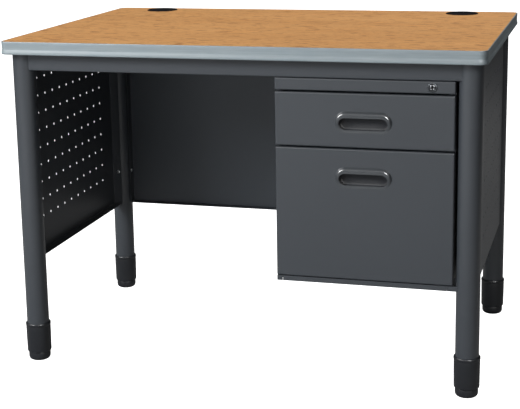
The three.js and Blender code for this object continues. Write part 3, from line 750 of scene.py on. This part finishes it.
def edge_marks(x0, x1, z0, z1, radius, centre):
    """For each side of a rounded rectangle, how far along it the rays from a centre land."""
    cx, cz = centre
    corners = [(x1, z0), (x1, z1), (x0, z1), (x0, z0)]
    sides = list(zip(corners, corners[1:] + corners[:1]))
    marks = [[], [], [], []]
    for i in range(RAYS):
        a = 2 * math.pi * i / RAYS
        dx, dz = math.cos(a), math.sin(a)
        for side, ((ax, az), (bx, bz)) in enumerate(sides):
            ex, ez = bx - ax, bz - az
            det = ex * dz - ez * dx
            if abs(det) < 1e-9:
                continue
            along = ((cx - ax) * dz - (cz - az) * dx) / det
            reach = ((cx - ax) * ez - (cz - az) * ex) / det
            size = math.hypot(ex, ez)
            t = (along * size - radius) / (size - 2 * radius)
            if reach > 0 and 0.004 < t < 0.996:
                marks[side].append(t)
    return [sorted(m) for m in marks]


def marked_rect(x0, x1, z0, z1, radius, marks):
    """A rounded rectangle with set points along its sides, from the lower right corner round."""
    corner = 8
    arcs = rounded_rect(x0, x1, z0, z1, radius, corner)
    points = []
    for side in range(4):
        end = (side + 1) * (corner + 1)
        points += arcs[end - corner - 1:end]
        (ax, az), (bx, bz) = arcs[end - 1], arcs[end % len(arcs)]
        points += [(ax + (bx - ax) * t, az + (bz - az) * t) for t in marks[side]]
    return points


def front_pan(name, node, body, opening, centre, bend):
    """A pan whose skin has a round-ended opening, with its points lined up to the outline's."""
    (x0, y0, z0), (x1, y1, z1) = box_mm(node)
    flat = bend + BEND_TO_FLAT
    tight, corner = 0.3, 2.6
    marks = edge_marks(x0 + flat, x1 - flat, z0 + flat, z1 - flat, tight, centre)

    def outline_at(inset):
        return marked_rect(x0 + inset, x1 - inset, z0 + inset, z1 - inset,
                           max(corner - inset, tight), marks)

    toward = [math.atan2(z - centre[1], x - centre[0]) for x, z in outline_at(flat)]

    def hole(grow):
        width, height = opening
        outline = stadium_outline(width + 2 * grow, height + 2 * grow, *centre)
        return resample(outline, toward, centre)

    piece = pan(name, outline_at, lambda u, v, depth: Vector((u, y0 + depth, v)) * MM,
                bend, y1 - y0, hole)
    place(piece, STEEL, body, "powder_coated_steel", node)


def smooth(t):
    t = min(max(t, 0.0), 1.0)
    return t * t * (3 - 2 * t)


def stamped_pull(name, node, body, front_y):
    """A stadium cup under a hood that leans out above the mouth and dies away below it."""
    (x0, y0, z0), (x1, _, z1) = box_mm(node)
    cx, _, cz = centre_mm(node)
    mouth_z = cz - MOUTH_DROP
    width, height = x1 - x0, z1 - z0
    full = front_y - y0
    rim = 0.3

    def lean(z):
        """The hood's share of its full lean at a height."""
        return smooth((z - (cz - HOOD_FOOT)) / HOOD_RISE)

    def ring(shrink_w, shrink_h, zc, share, back=0.0):
        """One loop: share is how much of the hood's lean it takes, back how far it sits behind.
        A share of None is the rim lying on the drawer's face."""
        outline = stadium_outline(width - shrink_w, height - shrink_h, cx, zc)
        loop = []
        for x, z in resample(outline, PULL_ANGLES, (cx, mouth_z)):
            proud = 0.0 if share is None else rim + share * (full - rim) * lean(z)
            loop.append(Vector((x, front_y - proud + back, z)) * MM)
        return loop

    # (how far along from the rim to the mouth, share of the lean)
    hood = [(0.0, 0.0), (0.04, 0.07), (0.09, 0.22), (0.15, 0.42), (0.22, 0.62), (0.30, 0.78),
            (0.39, 0.89), (0.5, 0.955), (0.64, 0.985), (0.8, 1.0), (0.91, 1.0), (0.97, 0.985)]
    # (less width, less height, share of the lean, depth)
    cup = [(16.9, 19.5, 0.94, 0.1), (17.0, 19.7, 0.87, 0.3), (16.8, 19.5, 0.78, 0.8),
           (16.0, 18.6, 0.6, 1.6), (15.0, 17.4, 0.2, 3.4), (14.9, 17.2, 0.0, 7.0),
           (15.6, 17.9, 0.0, 11.2), (17.6, 19.6, 0.0, 13.4), (21.5, 23.0, 0.0, 14.3),
           (27.0, 26.0, 0.0, 14.5)]
    cup_floor, rear_floor = 14.5, 15.9
    rear = [(13.2, 15.4, 0.0, 0.9), (13.2, 15.4, 0.0, 11.0), (15.0, 17.2, 0.0, 14.6),
            (23.0, 23.4, 0.0, 15.8)]
    inward_w, inward_h = 16.4, 18.9
    loops = [ring(0.0, 0.0, cz, None)]
    loops += [ring(rim + inward_w * t, rim + inward_h * t, cz - MOUTH_DROP * t, share)
              for t, share in hood]
    loops += [ring(w, h, mouth_z, share, back) for w, h, share, back in cup]
    outer = [ring(w, h, mouth_z, share, back) for w, h, share, back in rear]
    piece = loft(name, loops, end=Vector((cx, front_y + cup_floor, mouth_z)) * MM)
    shell = loft(name + "_back", outer, end=Vector((cx, front_y + rear_floor, mouth_z)) * MM)
    bm = bmesh.new()
    bm.from_mesh(piece.data)
    bm.from_mesh(shell.data)
    bpy.data.objects.remove(shell)
    bmesh.ops.bridge_loops(bm, edges=[e for e in bm.edges if len(e.link_faces) == 1])
    bmesh.ops.recalc_face_normals(bm, faces=bm.faces)
    for f in bm.faces:
        f.smooth = True
    bm.to_mesh(piece.data)
    bm.free()
    # the recess is what lies inside the mouth and past the lip's roll; it takes the darker coat as
    # painted shade
    mouth_w, mouth_h = (width - 16.4) / 2, (height - 19.0) / 2
    lip_roll = 0.7

    def in_painted_shade(c):
        across = max(abs(c.x - cx) - (mouth_w - mouth_h), 0.0)
        behind_lip = c.y > front_y - rim - (full - rim) * lean(c.z) + lip_roll
        return math.hypot(across, c.z - mouth_z) < mouth_h and behind_lip

    place(piece, GLOSS, body, "powder_coated_steel", node)
    # painted shade: the cup inside the mouth gets the darker coat where the hood shades it
    paint_shade_faces(piece, PAINTED_SHADE, in_painted_shade)


for kind in ("box", "file"):
    front, pull = f"{kind}_drawer_front", f"{kind}_drawer_pull"
    x, _, z = centre_mm(pull)
    mouth = (x, z - MOUTH_DROP)
    front_pan(f"{kind}_drawer_face", front, f"{kind}_drawer", PULL_OPENING, mouth, FRONT_BEND)
    stamped_pull(f"{kind}_drawer_stamped_pull", pull, f"{kind}_drawer", box_mm(front)[0][1])

kx, _, kz = centre_mm("lock_housing")
front_pan("lock_strip_face", "lock_strip", "frame", LOCK_OPENING, (kx, kz), SHEET_BEND)

# ---------- lock ----------
PLUG_POINTS = 72
PLUG_SHADE_RADIUS = 3.3

strip_y = box_mm("lock_strip")[0][1]
(_, ky0, _), (_, ky1, _) = box_mm("lock_housing")
bezel = turned("lock_bezel", [
    (8.8, ky1), (8.8, strip_y), (10.0, strip_y), (10.0, strip_y - 0.7), (9.8, strip_y - 1.3),
    (9.2, strip_y - 1.9), (8.4, ky0), (7.6, ky0), (7.1, ky0 + 0.4), (6.7, ky0 + 1.2), (6.6, ky1),
], (kx, 0, kz), axis="Y", closed=True)
place(bezel, LOCK_RIM, "frame", "zinc_plated_steel", "lock_housing")
(_, plug_y0, _), (_, plug_y1, _) = box_mm("lock_plug")


def plug_loop(y, reach):
    """One loop of the plug; reach(c, s) is its radius in the direction (c, s)."""
    points = []
    for k in range(PLUG_POINTS):
        a = 2 * math.pi * k / PLUG_POINTS
        c, s = math.cos(a), math.sin(a)
        r = reach(c, s)
        points.append(Vector((kx + r * c, y, kz + r * s)) * MM)
    return points


def disc_loop(radius, y):
    return plug_loop(y, lambda c, s: radius)


def keyway_loop(half_w, half_h, y):
    return plug_loop(y, lambda c, s: min(half_w / max(abs(c), 1e-6), half_h / max(abs(s), 1e-6)))


keyway_end = plug_y0 + 7.5
plug_profile = [
    (6.4, plug_y1), (6.4, plug_y0 + 2.2), (6.2, plug_y0 + 1.6), (5.7, plug_y0 + 1.0),
    (5.2, plug_y0 + 0.4), (4.7, plug_y0 + 0.1), (4.3, plug_y0), (3.9, plug_y0 + 0.2),
    (3.4, plug_y0 + 0.9), (3.2, plug_y0 + 1.4),
]
plug = loft("lock_key_plug", [
    *(disc_loop(radius, y) for radius, y in plug_profile),
    keyway_loop(1.05, 2.9, plug_y0 + 1.5), keyway_loop(0.9, 2.7, plug_y0 + 1.8),
    keyway_loop(0.9, 2.7, keyway_end),
], start=Vector((kx, plug_y1, kz)) * MM, end=Vector((kx, keyway_end, kz)) * MM)
place(plug, LOCK, "lock_cylinder", "zinc_plated_steel", "lock_plug")
# painted shade: the plug's recessed face round the keyway gets the darker coat
paint_shade_faces(plug, PAINTED_SHADE, lambda c: math.hypot(c.x - kx, c.z - kz) < PLUG_SHADE_RADIUS)


# ---------- bracket between the pedestal's foot and the right leg ----------
def upturned_bracket(name, node):
    """A copy of the CAD's bracket with its rear edge turned up in the slit beside the leg."""
    (x0, _, z0), (_, y1, z1) = box_mm(node)
    mesh = NODES[node].data.copy()
    mesh.transform(NODES[node].matrix_world)
    left, right = x0 + 0.2, box_mm("front_right_leg")[0][0]
    low, high = z0 + 0.2, z1 + BRACKET_RISE
    size = Vector((right - left, SHEET, high - low))
    centre = Vector(((left + right) / 2, y1 - 0.3 - SHEET / 2, (low + high) / 2))
    bm = bmesh.new()
    bm.from_mesh(mesh)
    bmesh.ops.create_cube(bm, size=1.0, matrix=Matrix.LocRotScale(centre * MM, None, size * MM))
    bm.to_mesh(mesh)
    bm.free()
    piece = bpy.data.objects.new(name, mesh)
    SCENE.collection.objects.link(piece)
    place(piece, STEEL, "frame", "powder_coated_steel", node)


upturned_bracket("pedestal_leg_angle", "pedestal_leg_bracket")


# ---------- drawer trays with hemmed rims ----------
def hemmed_tray(name, node, body):
    """A folded tray whose rim is turned in and down."""
    (x0, y0, z0), (x1, y1, z1) = box_mm(node)

    def loop(inset, z, radius):
        outline = rounded_rect(x0 + inset, x1 - inset, y0 + inset, y1 - inset, radius, 4)
        return [Vector((x, y, z)) * MM for x, y in outline]

    # (inset, height, corner radius), from the underside up the outside and down the inside
    section = [
        (2.2, z0, 1.5), (0.8, z0 + 0.25, 2.2), (0.2, z0 + 0.9, 2.6), (0.0, z0 + 2.0, 2.8),
        (0.0, z1 - 0.9, 2.8), (0.25, z1 - 0.3, 2.6), (0.9, z1, 2.2), (2.4, z1, 1.6),
        (3.1, z1 - 0.3, 1.2), (3.3, z1 - 1.0, 1.0), (3.3, z1 - 7.5, 1.0), (3.1, z1 - 8.1, 1.0),
        (2.5, z1 - 8.3, 1.2), (1.3, z1 - 8.3, 1.8), (1.2, z1 - 9.0, 1.8), (1.2, z0 + 2.6, 1.8),
        (1.6, z0 + 1.6, 1.6), (2.6, z0 + 1.2, 1.2),
    ]
    cx, cy, _ = centre_mm(node)
    piece = loft(name, [loop(*step) for step in section],
                 start=Vector((cx, cy, z0)) * MM, end=Vector((cx, cy, z0 + SHEET)) * MM)
    place(piece, STEEL, body, "powder_coated_steel", node)


for kind in ("box", "file"):
    hemmed_tray(f"{kind}_drawer_hemmed_tray", f"{kind}_drawer_tray", f"{kind}_drawer")

# ---------- stage, in metres ----------
FLOOR_HALF = 60.0
FLOOR_DROP = 0.0005
FLOOR_GLOW = 1.4
WORLD_FILL = 0.07


def stage_floor():
    """A floor that bounces a little light up at the desk and looks plain white to the camera."""
    corners = [(x * FLOOR_HALF, y * FLOOR_HALF, 0) for x, y in ((-1, -1), (1, -1), (1, 1), (-1, 1))]
    mesh = bpy.data.meshes.new("floor")
    mesh.from_pydata(corners, [], [(0, 1, 2, 3)])
    floor = bpy.data.objects.new("floor", mesh)
    SCENE.collection.objects.link(floor)
    floor.location.z = -FLOOR_DROP
    mat = bpy.data.materials.new("pale floor")
    mat.use_nodes = True
    tree = mat.node_tree
    tree.nodes.clear()
    out = tree.nodes.new("ShaderNodeOutputMaterial")
    diffuse = tree.nodes.new("ShaderNodeBsdfDiffuse")
    diffuse.inputs["Color"].default_value = (0.3, 0.3, 0.3, 1)
    glow = tree.nodes.new("ShaderNodeEmission")
    glow.inputs["Color"].default_value = (1, 1, 1, 1)
    seen = tree.nodes.new("ShaderNodeLightPath")
    dim = tree.nodes.new("ShaderNodeMath")
    dim.operation = "MULTIPLY"
    dim.inputs[1].default_value = FLOOR_GLOW
    add = tree.nodes.new("ShaderNodeAddShader")
    tree.links.new(seen.outputs["Is Camera Ray"], dim.inputs[0])
    tree.links.new(dim.outputs[0], glow.inputs["Strength"])
    tree.links.new(diffuse.outputs[0], add.inputs[0])
    tree.links.new(glow.outputs[0], add.inputs[1])
    tree.links.new(add.outputs[0], out.inputs["Surface"])
    mesh.materials.append(mat)
    floor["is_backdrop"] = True


def white_world():
    """White to the camera, and only a little light on the desk."""
    world = bpy.data.worlds.new("studio")
    SCENE.world = world
    world.use_nodes = True
    tree = world.node_tree
    backdrop = tree.nodes["Background"]
    backdrop.inputs["Color"].default_value = (1, 1, 1, 1)
    ray = tree.nodes.new("ShaderNodeLightPath")
    strength = tree.nodes.new("ShaderNodeMapRange")
    strength.inputs["To Min"].default_value = WORLD_FILL
    strength.inputs["To Max"].default_value = 1.0
    tree.links.new(ray.outputs["Is Camera Ray"], strength.inputs["Value"])
    tree.links.new(strength.outputs["Result"], backdrop.inputs["Strength"])


def area_light(name, where, at, size, power, diffuse=True, glossy=True):
    """A rectangular lamp at one point, turned toward another."""
    data = bpy.data.lights.new(name, "AREA")
    data.shape = "RECTANGLE"
    data.size, data.size_y = size
    data.energy = power
    lamp = bpy.data.objects.new(name, data)
    SCENE.collection.objects.link(lamp)
    lamp.location = where
    lamp.rotation_mode = "QUATERNION"
    lamp.rotation_quaternion = (Vector(at) - Vector(where)).to_track_quat("-Z", "Y")
    lamp.visible_diffuse = diffuse
    lamp.visible_glossy = glossy


stage_floor()
white_world()
area_light("key", (-2.4, -3.9, 2.7), (0.0, -0.2, 0.45), (1.6, 1.6), 262, glossy=False)
area_light("fill", (-1.0, -3.5, 0.8), (0.0, -0.2, 0.5), (1.4, 0.9), 34, glossy=False)
area_light("low fill", (0.3, -3.2, 0.35), (-0.2, 0.2, 0.5), (1.0, 0.4), 7, glossy=False)
area_light("top", (0.8, 1.5, 3.2), (0.2, 0.0, 0.75), (3.0, 2.0), 62, glossy=False)
area_light("back fill", (0.9, 3.6, 1.3), (0.0, 0.2, 0.5), (1.6, 1.0), 24, glossy=False)
area_light("left glint", (-1.9, -1.9, 2.2), (0.28, -0.35, 0.55), (1.2, 1.4), 180, diffuse=False)
area_light("right glint", (1.7, -2.4, 2.2), (0.28, -0.35, 0.55), (1.0, 1.0), 150, diffuse=False)

# ---------- camera ----------
SENSOR = 36.0
FRAME_WIDTH = 520
FOCAL_PX = 1308.0
YAW, PITCH, ROLL = 0.2723, 0.2098, -0.0166

SCENE.view_settings.view_transform = "Standard"
SCENE.view_settings.look = "None"
cam_data = bpy.data.cameras.new("camera")
camera = bpy.data.objects.new("camera", cam_data)
SCENE.collection.objects.link(camera)
SCENE.camera = camera
cam_data.sensor_width = SENSOR
cam_data.lens = FOCAL_PX / FRAME_WIDTH * SENSOR
cam_data.shift_y = -0.10
camera.location = (0.787, -2.977, 1.100)
ahead = math.cos(PITCH)
forward = Vector((-math.sin(YAW) * ahead, math.cos(YAW) * ahead, -math.sin(PITCH)))
level = Vector((math.cos(YAW), math.sin(YAW), 0.0))
upward = level.cross(forward)
across = level * math.cos(ROLL) + upward * math.sin(ROLL)
upward = upward * math.cos(ROLL) - level * math.sin(ROLL)
camera.rotation_mode = "QUATERNION"
camera.rotation_quaternion = Matrix((across, upward, -forward)).transposed().to_quaternion()

low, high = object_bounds()
